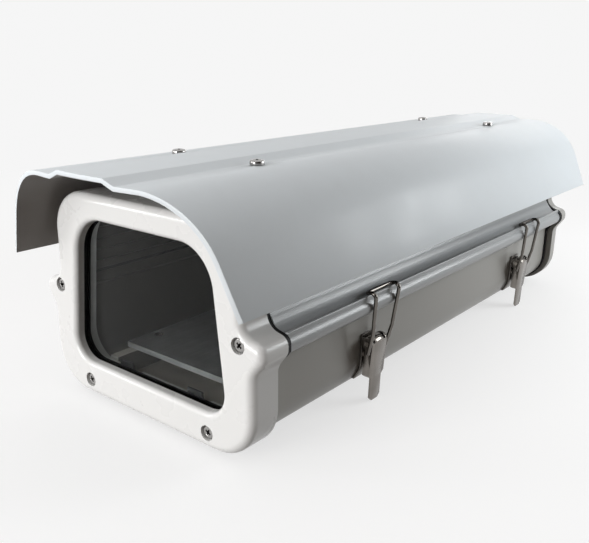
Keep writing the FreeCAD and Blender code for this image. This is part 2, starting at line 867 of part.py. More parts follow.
def cut_shield_nose(body):
    """Bow the front edge: keep what lies inside one large circle in plan."""
    radius = "( SkirtX ^ 2 + NoseBow ^ 2 ) / ( 2 * NoseBow )"
    reach = radius + " + SkirtX"
    middle = "%s - ShieldNose" % radius
    frame = rectangle("-( %s )" % reach, reach, "%s - ( %s )" % (middle, reach),
                      "%s + %s" % (middle, reach))
    pocket(body, [frame, ("0", middle, radius)], "2 * ShieldTop", role="XY_Plane")
    holes = circles(shield_spots(), "StudRad + 4 * ScrewFit")
    pocket(body, holes, "2 * ShieldTop", role="XY_Plane")


def flat_top_edges(height):
    level = value(height)

    def test(edge):
        box = edge.BoundBox
        return box.ZLength < 0.01 and abs(box.ZMin - level) < 0.01

    return test


def round_rims(height, radius):
    """Test for level circles of this radius at this height."""
    level = value(height)
    wanted = value(radius)

    def test(edge):
        box = edge.BoundBox
        flat = box.ZLength < 0.01 and abs(box.ZMin - level) < 0.01
        return flat and abs(box.XLength / 2 - wanted) < 0.01

    return test


def hexagon(x, z, flats):
    out = "( %s ) / sqrt(3)" % flats
    half = "( %s ) / ( 2 * sqrt(3))" % flats
    side = "( %s ) / 2" % flats
    return [("%s + %s" % (x, out), z), ("%s + %s" % (x, half), "%s + %s" % (z, side)),
            ("%s - %s" % (x, half), "%s + %s" % (z, side)), ("%s - %s" % (x, out), z),
            ("%s - %s" % (x, half), "%s - %s" % (z, side)),
            ("%s + %s" % (x, half), "%s - %s" % (z, side))]


# what carries the sunshield: screws, spacers, soft washers and nuts under the lid's roof
def make_shield_fixings():
    spots = shield_spots()
    shoulder = "ShieldTop - ShieldStep"
    plan = "XY_Plane"
    body = new_body("sunshield_screws")
    pad(body, circles(spots, "PanRad"), "PanTall", depth=shoulder, role=plan)
    round_edges(body, flat_top_edges(shoulder + " + PanTall"), "PanRound")
    pad(body, circles(spots, "StudRad"), "%s - LidTop + LidWall + NutTall + ThreadPast" % shoulder,
        depth=shoulder, role=plan, backward=True)
    cross_recess(body, spots, shoulder + " + PanTall", True, plan)
    hole = circles(spots, "StudRad + ScrewFit")
    body = new_body("sunshield_spacers")
    tall = "%s - SheetThick - LidTop - WasherTall" % shoulder
    pad(body, circles(spots, "SpacerRad"), tall, depth="LidTop + WasherTall", role=plan)
    pocket(body, hole, tall, depth="LidTop + WasherTall", role=plan)
    body = new_body("sunshield_washers")
    pad(body, circles(spots, "WasherRad"), "WasherTall", depth="LidTop", role=plan)
    pocket(body, hole, "WasherTall", depth="LidTop", role=plan)
    body = new_body("sunshield_nuts")
    low = "LidTop - LidWall - NutTall"
    pad(body, [hexagon(x, y, "NutFlats") for x, y in spots], "NutTall", depth=low, role=plan)
    pocket(body, hole, "NutTall", depth=low, role=plan)


def corner_cuts(half, low):
    """Two small triangles that take the lower corners off a strip of this half width."""
    cuts = []
    for sign in ("", "-"):
        edge = sign + half
        back = "%s( %s - LeverChamfer )" % (sign, half)
        cuts.append([(back, low), (edge, low), (edge, low + " + LeverChamfer")])
    return cuts


# toggle latch: bracket with two ears, folded lever on a pin, and a wire bail in the lever
def make_latch(name, along):
    place = "%s - HalfLong" % along
    pin = ("PinX", "-PinDrop")
    body = new_body(name + "_latch_base", place)
    roll_tail(body)
    pad(body, [rectangle("TrayHalf", "TrayHalf + PlateThick", "-PlateDrop", "-PlateTop")],
        "2 * PlateHalf", middle=True)
    ears = "2 * ( LeverHalf - LeverSheet - EarRoom )"
    pad(body, [rectangle("TrayHalf", "PinX", "-PinDrop - EarDisc", "-PinDrop + EarDisc")],
        ears, middle=True)
    pad(body, [pin + ("EarDisc",)], ears, middle=True)
    room = rectangle("TrayHalf + PlateThick", "PinX + 2 * EarDisc", "-PlateDrop",
                     "-PinDrop + 2 * EarDisc")
    pocket(body, [room], ears + " - 2 * PlateThick", middle=True)
    pocket(body, [pin + ("PinRad + PressFit",)], "2 * PlateHalf", middle=True)
    rivets = [(y, "-RivetDrop", "RivetRad + ScrewFit") for y in ("RivetY", "-RivetY")]
    pocket(body, rivets, "2 * PlateThick", depth="TrayHalf", role="YZ_Plane")

    body = new_body(name + "_latch_lever", place)
    front = ("PinX + LeverRound", "-PinDrop")
    low = ("LeverLowX", "-LeverLow")
    pad(body, [pin + ("LeverRound",)], "2 * LeverHalf", middle=True)
    cheek = [front, low, ("LeverLowX - CheekFoot", "-LeverLow"),
             ("LeverLowX - LeverBack", "-LeverLow + CheekFoot"),
             ("PinX - CheekBack", "-PinDrop - 2 * CheekBack"), pin]
    pad(body, [cheek], "2 * LeverHalf", middle=True)
    tab = [low, ("TabX", "-TabDrop"), ("TabX - LeverSheet", "-TabDrop"),
           ("LeverLowX - LeverSheet", "-LeverLow")]
    pad(body, [tab], "2 * TabHalf", middle=True)
    inside = "2 * ( LeverHalf - LeverSheet )"
    pocket(body, [pin + ("LeverRound - LeverSheet",)], inside, middle=True)
    channel = [("PinX + LeverRound - LeverSheet", "-PinDrop"),
               ("LeverLowX - LeverSheet", "-LeverLow"),
               ("LeverLowX - 3 * LeverBack", "-LeverLow"),
               ("LeverLowX - 3 * LeverBack", "-PinDrop")]
    pocket(body, [channel], inside, middle=True)
    pocket(body, corner_cuts("LeverHalf", "-LeverLow"), "2 * LeverBack",
           depth="LeverLowX - 1.5 * LeverBack", role="YZ_Plane")
    pocket(body, corner_cuts("TabHalf", "-TabDrop"), "4 * LeverSheet",
           depth="TabX - 2 * LeverSheet", role="YZ_Plane")
    slot = [("PinX - 2 * LeverRound", "-PinDrop - EarDisc - EarRoom"),
            ("PinX", "-PinDrop - EarDisc - EarRoom"), ("PinX + EarDisc", "-PinDrop - EarDisc / 2"),
            ("PinX + 2.2 * EarDisc", "-PinDrop + 1.5 * EarDisc"),
            ("PinX + 2.2 * EarDisc", "-PinDrop + 2 * LeverRound"),
            ("PinX - 2 * LeverRound", "-PinDrop + 2 * LeverRound")]
    slot_wide = "PlateThick + 2 * EarRoom"
    pocket(body, [slot], slot_wide, depth="LeverHalf - LeverSheet - ( %s )" % slot_wide)
    pocket(body, [slot], slot_wide, depth="-LeverHalf + LeverSheet")
    pocket(body, [pin + ("PinRad + PivotFit",)], "2 * LeverHalf", middle=True)
    eye = [("BailX", "-BailDrop", "WireRad + WireFit")]
    pocket(body, eye, "LeverSheet", depth="LeverHalf - LeverSheet")
    pocket(body, eye, "LeverSheet", depth="-LeverHalf")

    body = new_body(name + "_latch_pin", place)
    pad(body, [pin + ("PinRad",)], "2 * LeverHalf + PinGap", middle=True)

    bail = doc.addObject("Part::Feature", name + "_latch_bail")
    bail.Label = name + "_latch_bail"
    bail.Shape = bent_wire(bail_points(), value("WireRad"))
    bail.Placement.Base = Vector(0, value(place), value("Level"))
    bind(bail, ".Placement.Base.y", place)
    bind(bail, ".Placement.Base.z", "Level")
    NODES.append(bail)


def roll_tail(body):
    """Lower end of the bracket, rolled to lie on the round corner of the tray."""
    x = "TrayHalf - TrayRound"
    z = "-PlateDrop"
    wide = "2 * PlateHalf"
    pad(body, [(x, z, "TrayRound + PlateThick")], wide, middle=True)
    pocket(body, [(x, z, "TrayRound + ScrewFit")], wide, middle=True)
    right = x + " + 2 * TrayRound"
    left = x + " - 2 * TrayRound"
    above = z + " + 2 * TrayRound"
    below = "-TailDrop - 2 * TrayRound"
    around = [(x, z), (right, z), (right, above), (left, above),
              (left, below), (right, below), (right, "-TailDrop"), (x, "-TailDrop")]
    pocket(body, [around], wide, middle=True)


def bail_points():
    """Centre line of the bail from one inner end to the other, with its bend radii."""
    half = [
        ("BailX", "WireInner", "-BailDrop", "0"),
        ("BailX", "WireY", "-BailDrop", "WireBend"),
        ("KneeX", "KneeY", "-KneeDrop", "2 * WireBend"),
        ("ShoulderX", "WireTopY", "ShoulderRise", "ShoulderBend"),
        ("BarX", "WireTopY", "BarRise", "BarBend"),
    ]
    points = [(Vector(value(x), value(y), value(z)), value(bend)) for x, y, z, bend in half]
    other = [(Vector(p.x, -p.y, p.z), bend) for p, bend in reversed(points)]
    return points + other


def bent_wire(points, radius):
    """A round bar swept along a polyline whose inner corners are arcs."""
    path = []
    last = points[0][0]
    for index in range(1, len(points) - 1):
        corner, bend = points[index]
        back = (points[index - 1][0] - corner).normalize()
        ahead = (points[index + 1][0] - corner).normalize()
        half_angle = back.getAngle(ahead) / 2
        reach = bend / math.tan(half_angle)
        start = corner + back * reach
        end = corner + ahead * reach
        inward = (back + ahead).normalize()
        middle = corner + inward * (bend / math.sin(half_angle) - bend)
        path.append(Part.makeLine(last, start))
        path.append(Part.Arc(start, middle, end).toShape())
        last = end
    path.append(Part.makeLine(last, points[-1][0]))
    wire = Part.Wire(path)
    circle = Part.makeCircle(radius, points[0][0], points[1][0] - points[0][0])
    return wire.makePipeShell([Part.Wire([circle])], True, False)


def make_latches():
    make_latch("front", "FrontLatch")
    make_latch("rear", "RearLatch")
    side = "YZ_Plane"
    outer = "TrayHalf + PlateThick"
    inner = "TrayHalf - TrayWall"
    body = new_body("latch_rivets")
    spots = [(y, "-RivetDrop") for y in rivet_spots()]
    pad(body, circles(spots, "RivetHead"), "RivetTall", depth=outer, role=side)
    pad(body, circles(spots, "RivetRad"), "PlateThick + TrayWall", depth=inner, role=side)
    pad(body, circles(spots, "RivetHead"), "RivetTall", depth=inner + " - RivetTall", role=side)


# pins pressed into the ears on the hinge side; the lid's bead turns on them
def make_pivots():
    body = new_body("front_pivot_pin")
    pad(body, [("-BeadX", "-BeadDrop", "PivotRad")],
        "PivotDeep - PinGap + GasketThick + PivotReach",
        depth="BezelDeep - PivotDeep + PinGap")
    body = new_body("rear_pivot_pin")
    pad(body, [("-BeadX", "-BeadDrop", "PivotRad")],
        "CapPivotDeep - PinGap + GasketThick + PivotReach",
        depth="2 * HalfLong - CapDeep - GasketThick - PivotReach")


# slotted plate that carries the camera, screwed to the posts of the tray
def make_camera_plate():
    plan = "XY_Plane"
    top = "CameraPlate - PostTop"
    body = new_body("camera_plate")
    pad(body, [rectangle("-PlateWide", "PlateWide", "-PostTop", top)],
        "PlateRear - PlateFront", depth="PlateFront")
    slot = rectangle("-SlotHalf", "SlotHalf", "SlotFront", "SlotRear")
    pocket(body, [slot], "CameraPlate", depth="-PostTop", role=plan)
    pocket(body, circles(plate_spots(), "SmallRad + ScrewFit"), "CameraPlate",
           depth="-PostTop", role=plan)
    bevel_edges(body, round_rims(top, "SmallRad + ScrewFit"), "SinkDeep")
    body = new_body("camera_plate_screws")
    head = "SmallRad + ScrewFit + SinkDeep - SinkRim"
    pad(body, circles(plate_spots(), head), "SinkDeep", depth=top, role=plan, backward=True)
    bevel_edges(body, round_rims(top + " - SinkDeep", head), "SinkDeep - SinkRim")
    pad(body, circles(plate_spots(), "SmallRad"), "CameraPlate + SmallLong - PinGap",
        depth=top, role=plan, backward=True)


# cable gland: threaded body, dome nut, sealing ring and locknut
def make_gland(name, x):
    z = "-GlandDrop"
    face = "2 * HalfLong"
    inside = "2 * HalfLong - CapDeep + CapPocket"
    nut = face + " + GlandFlange + DomeGap"
    neck = face + " + GlandFlange + GlandNeckTall"
    body = new_body(name + "_gland_body")
    pad(body, [hexagon(x, z, "GlandFlats")], "GlandFlange", depth=face)
    pad(body, [(x, z, "GlandRad")], "CapDeep - CapPocket + LockTall + ThreadPast",
        depth=inside + " - LockTall - ThreadPast")
    pad(body, [(x, z, "GlandNeck")], "GlandNeckTall", depth=face + " + GlandFlange")
    pocket(body, [(x, z, "GlandHole + GlandRelief")], "4 * CapDeep", depth=inside + " - CapDeep")
    body = new_body(name + "_gland_nut")
    pad(body, [hexagon(x, z, "DomeFlats")], "DomeTall / 2", depth=nut)
    pad(body, [(x, z, "DomeRad")], "DomeTall", depth=nut)
    round_edges(body, flat_edges(nut + " + DomeTall"), "DomeRound")
    pocket(body, [(x, z, "GlandNeck + ScrewFit")], "GlandNeckTall", depth=nut)
    pocket(body, [(x, z, "SealRad + SealFit")], "2 * DomeTall", depth=nut)
    body = new_body(name + "_gland_seal")
    pad(body, [(x, z, "SealRad")], "DomeTall - GlandNeckTall", depth=neck)
    pocket(body, [(x, z, "GlandHole")], "DomeTall", depth=neck)
    body = new_body(name + "_gland_locknut")
    pad(body, [hexagon(x, z, "GlandFlats")], "LockTall", depth=inside + " - LockTall")
    pocket(body, [(x, z, "GlandRad + ScrewFit")], "LockTall", depth=inside + " - LockTall")


def make_glands():
    make_gland("right", "GlandX")
    make_gland("left", "-GlandX")


STEPS = [
    make_bezel,
    make_window,
    make_clips,
    make_end_screws,
    make_rear_cap,
    make_lid,
    make_front_gasket,
    make_tray,
    make_rim_seals,
    make_shield,
    make_shield_fixings,
    make_latches,
    make_pivots,
    make_camera_plate,
    make_glands,
]
for step in STEPS:
    step()
doc.recompute()

for item in doc.Objects:
    if "Invalid" in item.State or "Error" in item.State:
        raise RuntimeError("failed: %s %s" % (item.Name, item.State))
for body in NODES:
    shape = body.Shape
    if shape.isNull() or not shape.isValid():
        raise RuntimeError("bad shape: " + body.Label)
    shape.exportStep("parts/%s.step" % body.Label)
    print(body.Label, len(shape.Solids), "solids", round(shape.Volume, 1), "mm3")
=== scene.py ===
"""Looks of an outdoor security camera housing.

Painted castings and extrusions, a folded sunshield, steel latches and screws, and a pale stage.
"""

import json
import math
from collections import namedtuple

import bmesh
import bpy
from bpy.props import FloatProperty, FloatVectorProperty, PointerProperty
from mathutils import Matrix, Vector

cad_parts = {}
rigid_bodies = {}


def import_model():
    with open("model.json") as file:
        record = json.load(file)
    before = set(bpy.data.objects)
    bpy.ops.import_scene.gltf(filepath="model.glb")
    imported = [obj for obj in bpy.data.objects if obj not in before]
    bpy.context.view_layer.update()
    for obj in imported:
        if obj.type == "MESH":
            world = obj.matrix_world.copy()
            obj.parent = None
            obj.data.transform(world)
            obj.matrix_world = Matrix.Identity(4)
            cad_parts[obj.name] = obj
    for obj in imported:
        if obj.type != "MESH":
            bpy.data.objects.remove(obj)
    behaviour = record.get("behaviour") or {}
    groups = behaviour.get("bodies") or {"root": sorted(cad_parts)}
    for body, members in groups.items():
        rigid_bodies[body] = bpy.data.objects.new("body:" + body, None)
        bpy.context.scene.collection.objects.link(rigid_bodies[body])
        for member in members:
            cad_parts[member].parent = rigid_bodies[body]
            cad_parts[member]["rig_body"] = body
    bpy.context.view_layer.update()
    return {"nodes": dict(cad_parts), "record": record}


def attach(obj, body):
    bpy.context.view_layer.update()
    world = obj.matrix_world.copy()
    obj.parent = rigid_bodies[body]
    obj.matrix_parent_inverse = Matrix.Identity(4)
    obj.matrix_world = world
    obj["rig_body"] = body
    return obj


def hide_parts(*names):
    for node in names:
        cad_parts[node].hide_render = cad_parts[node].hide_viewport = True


bl_info = {
    "name": "Camera housing",
    "version": (1, 0, 0),
    "blender": (4, 5, 0),
    "location": "View3D > Sidebar > Housing",
    "description": "Builds the looks of a camera housing around its frame",
    "category": "Object",
}

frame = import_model()


# sizes and colours that the sidebar can change

def paint_colour(name, description, default):
    return FloatVectorProperty(name=name, description=description, subtype="COLOR", size=3,
                               min=0, max=1, default=default)


def small_length(name, description, default):
    return FloatProperty(name=name, description=description, subtype="DISTANCE", unit="LENGTH",
                         default=default)


class PaintColours(bpy.types.PropertyGroup):
    bezel: paint_colour("Bezel", "White coat of the front casting", (0.80, 0.80, 0.79))
    shield: paint_colour("Sunshield", "Satin coat of the folded sheet", (0.74, 0.785, 0.815))
    # painted shade: a dark colour on the inner side of the sunshield for the shade that falls
    # under the sheet
    shade: paint_colour("Sunshield inside", "Coat on the inner side of the sheet",
                        (0.165, 0.148, 0.134))
    # lid, tray and rear cap are darker than the bezel's white by painted shade, and the tray's
    # warmer tint against the lid's cooler one is a painted reflection of warm surroundings
    lid: paint_colour("Lid", "Grey coat of the lid extrusion", (0.385, 0.40, 0.41))
    tray: paint_colour("Tray", "Grey coat of the tray extrusion and the rear cap",
                       (0.41, 0.40, 0.375))
    # painted shade: a dark colour on the inner walls of lid and tray for the shade inside the
    # closed housing
    inside: paint_colour("Inside", "Dull coat on the inner walls of lid and tray",
                         (0.105, 0.096, 0.086))
    # painted reflection: the steel is darker and warmer than bare stainless, for the dark, brown
    # surroundings it reflects
    steel: paint_colour("Steel", "Stainless steel of latches and bails", (0.50, 0.46, 0.42))


class PieceSizes(bpy.types.PropertyGroup):
    edge: small_length("Edge rounding", "Small rounding on cut and folded edges", 0.0003)
    head: small_length("Screw head", "Width of the heads at both ends", 0.0066)
    shield_head: small_length("Sunshield screw head", "Width of the heads on the sunshield",
                              0.0072)
    key_light: FloatProperty(name="Key light", description="Power of the lamps in watts",
                             default=22.0)


def paints():
    return bpy.context.scene.housing_paint


def sizes():
    return bpy.context.scene.housing_sizes


# nodes

MIX_FACTOR, MIX_FIRST, MIX_SECOND, MIX_RESULT = 0, 6, 7, 2


def plug(links, value, socket):
    """Link a socket, or set a plain number, vector or colour."""
    if hasattr(value, "is_linked"):
        links.new(value, socket)
    else:
        socket.default_value = value


def maths(nodes, links, operation, *values):
    node = nodes.new("ShaderNodeMath")
    node.operation = operation
    for value, socket in zip(values, node.inputs):
        plug(links, value, socket)
    return node.outputs[0]


def vector_maths(nodes, links, operation, *values):
    node = nodes.new("ShaderNodeVectorMath")
    node.operation = operation
    for value, socket in zip(values, node.inputs):
        plug(links, value, socket)
    return node.outputs["Value" if operation in ("DOT_PRODUCT", "LENGTH") else "Vector"]


def noise(nodes, links, place, scale, detail=2.0, roughness=0.5):
    node = nodes.new("ShaderNodeTexNoise")
    node.inputs["Detail"].default_value = detail
    node.inputs["Roughness"].default_value = roughness
    plug(links, scale, node.inputs["Scale"])
    links.new(place, node.inputs["Vector"])
    return node.outputs["Fac"]


def spread(nodes, links, source, start, stop, low=0.0, high=1.0, smooth_step=False):
    """Map what lies between start and stop onto low to high, and hold it there outside."""
    node = nodes.new("ShaderNodeMapRange")
    if smooth_step:
        node.interpolation_type = "SMOOTHSTEP"
    node.inputs["From Min"].default_value = start
    node.inputs["From Max"].default_value = stop
    node.inputs["To Min"].default_value = low
    node.inputs["To Max"].default_value = high
    links.new(source, node.inputs["Value"])
    return node.outputs[0]


def opaque(colour):
    return (*colour[:3], 1.0)


def mix_colour(nodes, links, factor, first, second):
    """Blend two colours by a mask."""
    node = nodes.new("ShaderNodeMix")
    node.data_type = "RGBA"
    for colour, socket in ((first, node.inputs[MIX_FIRST]), (second, node.inputs[MIX_SECOND])):
        plug(links, colour if hasattr(colour, "is_linked") else opaque(colour), socket)
    links.new(factor, node.inputs[MIX_FACTOR])
    return node.outputs[MIX_RESULT]


def bump(nodes, links, height, strength, distance, shader):
    node = nodes.new("ShaderNodeBump")
    node.inputs["Strength"].default_value = strength
    node.inputs["Distance"].default_value = distance
    links.new(height, node.inputs["Height"])
    links.new(node.outputs[0], shader.inputs["Normal"])


def scaled(colour, factor):
    return tuple(min(1.0, part * factor) for part in colour)


# shader node groups

def new_group(name, inputs, outputs):
    group = bpy.data.node_groups.new(name, "ShaderNodeTree")
    for label, kind, default in inputs:
        socket = group.interface.new_socket(label, in_out="INPUT", socket_type=kind)
        socket.default_value = default
    for label in outputs:
        group.interface.new_socket(label, in_out="OUTPUT", socket_type="NodeSocketFloat")
    enter = group.nodes.new("NodeGroupInput")
    leave = group.nodes.new("NodeGroupOutput")
    return group, enter, leave


def coat_grain():
    """Fine orange peel of a sprayed coat, with slow waves under it."""
    group, enter, leave = new_group(
        "Coat grain",
        [("Scale", "NodeSocketFloat", 1400.0), ("Waves", "NodeSocketFloat", 45.0)],
        ["Height", "Patches"])
    nodes, links = group.nodes, group.links
    place = nodes.new("ShaderNodeTexCoord").outputs["Object"]
    fine = noise(nodes, links, place, enter.outputs["Scale"], detail=3.0, roughness=0.45)
    slow = noise(nodes, links, place, enter.outputs["Waves"], detail=4.0)
    slow_share = 0.03
    height = maths(nodes, links, "MULTIPLY_ADD", slow, slow_share, fine)
    links.new(height, leave.inputs["Height"])
    links.new(slow, leave.inputs["Patches"])
    return group


def settled_dust():
    """A thin film of dust: more on faces that look up, broken up by noise."""
    group, enter, leave = new_group(
        "Settled dust",
        [("Amount", "NodeSocketFloat", 0.3), ("Scale", "NodeSocketFloat", 60.0)], ["Mask"])
    nodes, links = group.nodes, group.links
    place = nodes.new("ShaderNodeTexCoord").outputs["Object"]
    speckle = noise(nodes, links, place, enter.outputs["Scale"], detail=6.0, roughness=0.7)
    split = nodes.new("ShaderNodeSeparateXYZ")
    links.new(nodes.new("ShaderNodeNewGeometry").outputs["Normal"], split.inputs[0])
    upward = spread(nodes, links, split.outputs["Z"], start=-0.2, stop=1.0, low=0.15)
    cloud = spread(nodes, links, speckle, start=0.42, stop=0.75)
    both = maths(nodes, links, "MULTIPLY", upward, cloud)
    links.new(maths(nodes, links, "MULTIPLY", both, enter.outputs["Amount"]),
              leave.inputs["Mask"])
    return group


def rolled_lines():
    """Fine lines left along one direction by rolling or brushing."""
    group, enter, leave = new_group(
        "Rolled lines", [("Stretch", "NodeSocketVector", (900.0, 900.0, 30.0))],
        ["Height", "Streaks"])
    nodes, links = group.nodes, group.links
    place = nodes.new("ShaderNodeTexCoord").outputs["Object"]
    pulled = vector_maths(nodes, links, "MULTIPLY", place, enter.outputs["Stretch"])
    lines = noise(nodes, links, pulled, scale=1.0, detail=5.0, roughness=0.6)
    smudge = noise(nodes, links, place, scale=90.0)
    links.new(lines, leave.inputs["Height"])
    links.new(maths(nodes, links, "MULTIPLY", lines, smudge), leave.inputs["Streaks"])
    return group


def inner_side():
    """Masks of the faces that look towards a line along the length, and of those that look up."""
    group, enter, leave = new_group(
        "Inner side", [("Middle", "NodeSocketVector", (0.0, 0.0, 0.05))], ["Mask", "Floor"])
    nodes, links = group.nodes, group.links
    place = nodes.new("ShaderNodeTexCoord")
    across_only = (1.0, 0.0, 1.0)
    away = vector_maths(nodes, links, "SUBTRACT", place.outputs["Object"],
                        enter.outputs["Middle"])
    flat = vector_maths(nodes, links, "MULTIPLY", away, across_only)
    unit = vector_maths(nodes, links, "NORMALIZE", flat)
    outward = vector_maths(nodes, links, "DOT_PRODUCT", unit, place.outputs["Normal"])
    links.new(spread(nodes, links, outward, start=-0.12, stop=-0.30), leave.inputs["Mask"])
    split = nodes.new("ShaderNodeSeparateXYZ")
    links.new(place.outputs["Normal"], split.inputs[0])
    links.new(spread(nodes, links, split.outputs["Z"], start=0.5, stop=0.95),
              leave.inputs["Floor"])
    return group


GROUP_MAKERS = {
    "Coat grain": coat_grain,
    "Settled dust": settled_dust,
    "Rolled lines": rolled_lines,
    "Inner side": inner_side,
}


def group_node(nodes, name, values):
    """Add a shared group, made at its first use, and set its inputs."""
    node = nodes.new("ShaderNodeGroup")
    node.node_tree = bpy.data.node_groups.get(name) or GROUP_MAKERS[name]()
    for label, value in values.items():
        node.inputs[label].default_value = value
    return node


# materials

DUST_COLOUR = (0.46, 0.44, 0.40)
# painted shade inside the cross recess of the screws
RECESS_PAINTED_SHADE = (0.03, 0.027, 0.025)
COAT_GLOSS = 0.14
PEEL_DEPTH = 0.0004
LINE_DEPTH = 0.0002
LINE_RELIEF = 0.06
RUBBER_DEPTH = 0.0003
RUBBER_RELIEF = 0.25
RUBBER_SHINE = 0.2

# the part of each noise that a look is spread over
PATCH_SPAN = (0.3, 0.7)
STREAK_SPAN = (0.15, 0.4)
BLOOM_SPAN = (0.4, 0.8)
SMEAR_SPAN = (0.45, 0.9)

# shares of the written colour
STREAK_DARK, STREAK_LIGHT = 0.82, 1.08
BLOOM_LIGHT = 2.1
# painted light: inner faces that look up are made lighter for the light that falls on them through
# the pane
INNER_FLOOR_PAINTED_LIGHT = 4.0

# points on the lines that the inner faces look towards
SHIELD_MIDDLE = (0.0, 0.0, 0.075)
BODY_MIDDLE = (0.0, 0.0, 0.056)


def new_material(name):
    material = bpy.data.materials.new(name)
    material.use_nodes = True
    nodes = material.node_tree.nodes
    return material, nodes, material.node_tree.links, nodes["Principled BSDF"]


def painted(name, colour, gloss, grain=1400.0, relief=0.10, coat=0.15, dust=0.10, mottle=0.014,
            shine=0.5, inside=None, middle=BODY_MIDDLE):
    """Sprayed coat: peel, slight colour drift, uneven gloss, a little dust, painted shade on the
    inner faces and painted light on those that look up.
    """
    material, nodes, links, shader = new_material(name)
    peel = group_node(nodes, "Coat grain", {"Scale": grain})
    patches = peel.outputs["Patches"]
    drift = mix_colour(nodes, links, spread(nodes, links, patches, *PATCH_SPAN),
                       scaled(colour, 1.0 - mottle), scaled(colour, 1.0 + mottle))
    film = group_node(nodes, "Settled dust", {"Amount": dust})
    surface = mix_colour(nodes, links, film.outputs["Mask"], drift, DUST_COLOUR)
    # painted shade on the inner faces, and painted light on the inner faces that look up
    if inside is not None:
        side = group_node(nodes, "Inner side", {"Middle": middle})
        walls = mix_colour(nodes, links, side.outputs["Floor"], inside,
                           scaled(inside, INNER_FLOOR_PAINTED_LIGHT))
        surface = mix_colour(nodes, links, side.outputs["Mask"], surface, walls)
    links.new(surface, shader.inputs["Base Color"])
    links.new(spread(nodes, links, patches, *PATCH_SPAN, *gloss), shader.inputs["Roughness"])
    bump(nodes, links, peel.outputs["Height"], relief, PEEL_DEPTH, shader)
    shader.inputs["Specular IOR Level"].default_value = shine
    shader.inputs["Coat Weight"].default_value = coat
    shader.inputs["Coat Roughness"].default_value = COAT_GLOSS
    return material


def steel(name, colour, gloss, stretch=(900.0, 900.0, 30.0), recess=False):
    """Rolled or drawn metal; recess puts painted shade on the faces that shade_recess marked."""
    material, nodes, links, shader = new_material(name)
    lines = group_node(nodes, "Rolled lines", {"Stretch": stretch})
    streaks = lines.outputs["Streaks"]
    surface = mix_colour(nodes, links, spread(nodes, links, streaks, *STREAK_SPAN),
                         scaled(colour, STREAK_DARK), scaled(colour, STREAK_LIGHT))
    # painted shade in the screws' cross recess
    if recess:
        mark = nodes.new("ShaderNodeAttribute")
        mark.attribute_name = RECESS
        surface = mix_colour(nodes, links, mark.outputs["Fac"], surface, RECESS_PAINTED_SHADE)
    links.new(surface, shader.inputs["Base Color"])
    links.new(spread(nodes, links, streaks, *STREAK_SPAN, *gloss), shader.inputs["Roughness"])
    bump(nodes, links, lines.outputs["Height"], LINE_RELIEF, LINE_DEPTH, shader)
    shader.inputs["Metallic"].default_value = 1.0
    return material


def rubber(name, colour):
    """Dull black rubber or nylon with a faint pale bloom."""
    material, nodes, links, shader = new_material(name)
    bloom = group_node(nodes, "Coat grain", {"Scale": 2200.0, "Waves": 120.0})
    patches = bloom.outputs["Patches"]
    surface = mix_colour(nodes, links, spread(nodes, links, patches, *BLOOM_SPAN),
                         colour, scaled(colour, BLOOM_LIGHT))
    links.new(surface, shader.inputs["Base Color"])
    links.new(spread(nodes, links, patches, *PATCH_SPAN, low=0.5, high=0.75),
              shader.inputs["Roughness"])
    bump(nodes, links, bloom.outputs["Height"], RUBBER_RELIEF, RUBBER_DEPTH, shader)
    shader.inputs["Specular IOR Level"].default_value = RUBBER_SHINE
    return material


def pane_glass():
    """Flat clear pane with faint smears that only change its gloss."""
    material, nodes, links, shader = new_material("pane_glass")
    smear = group_node(nodes, "Coat grain", {"Waves": 35.0})
    links.new(spread(nodes, links, smear.outputs["Patches"], *SMEAR_SPAN, high=0.02),
              shader.inputs["Roughness"])
    shader.inputs["Base Color"].default_value = (0.80, 0.82, 0.81, 1.0)
    shader.inputs["Transmission Weight"].default_value = 1.0
    shader.inputs["IOR"].default_value = 1.16
    return material


MATERIALS = {}


def finish_materials():
    """Make every finish; gloss is the range of roughness."""
    paint = paints()
    MATERIALS.update({
        "white_paint": painted("white_coat", paint.bezel, gloss=(0.27, 0.28), relief=0.05,
                               coat=0.3, dust=0.02, mottle=0.004),
        # the sunshield's inner faces take the painted shade colour
        "shield_paint": painted("shield_coat", paint.shield, gloss=(0.42, 0.55), grain=1900.0,
                                relief=0.12, coat=0.05, dust=0.05, inside=paint.shade,
                                middle=SHIELD_MIDDLE),
        # lid, tray and cap colours carry painted shade, the tray's warm tint a painted reflection,
        # and their insides painted shade
        "grey_paint": painted("lid_coat", paint.lid, gloss=(0.28, 0.35), inside=paint.inside),
        "tray_paint": painted("tray_coat", paint.tray, gloss=(0.30, 0.38), coat=0.08,
                              shine=0.34, inside=paint.inside),
        "cap_paint": painted("cap_coat", paint.tray, gloss=(0.34, 0.46), relief=0.14),
        # painted reflection: the steel colours are darkened for the dark surroundings they
        # reflect, most on the latch levers, brackets and wire
        "stainless": steel("rolled_stainless", paint.steel, gloss=(0.18, 0.34)),
        "screw_steel": steel("screw_steel", (0.40, 0.39, 0.38), gloss=(0.10, 0.22),
                             recess=True),
        "latch_steel": steel("pressed_stainless", scaled(paint.steel, 0.46),
                             gloss=(0.12, 0.26)),
        "bracket_steel": steel("bracket_stainless", scaled(paint.steel, 0.26),
                               gloss=(0.22, 0.36)),
        "bright_wire": steel("drawn_wire", scaled(paint.steel, 0.30), gloss=(0.10, 0.22),
                             stretch=(1500.0, 1500.0, 120.0)),
        "black_rubber": rubber("black_rubber", (0.012, 0.012, 0.013)),
        "black_plastic": rubber("black_nylon", (0.02, 0.02, 0.022)),
        "clear_glass": pane_glass(),
        "bare_aluminium": steel("plate_aluminium", (0.58, 0.59, 0.60), gloss=(0.48, 0.62),
                                stretch=(700.0, 20.0, 700.0)),
    })


def give(item, slot):
    item.data.materials.clear()
    item.data.materials.append(MATERIALS[slot])


# modelling helpers

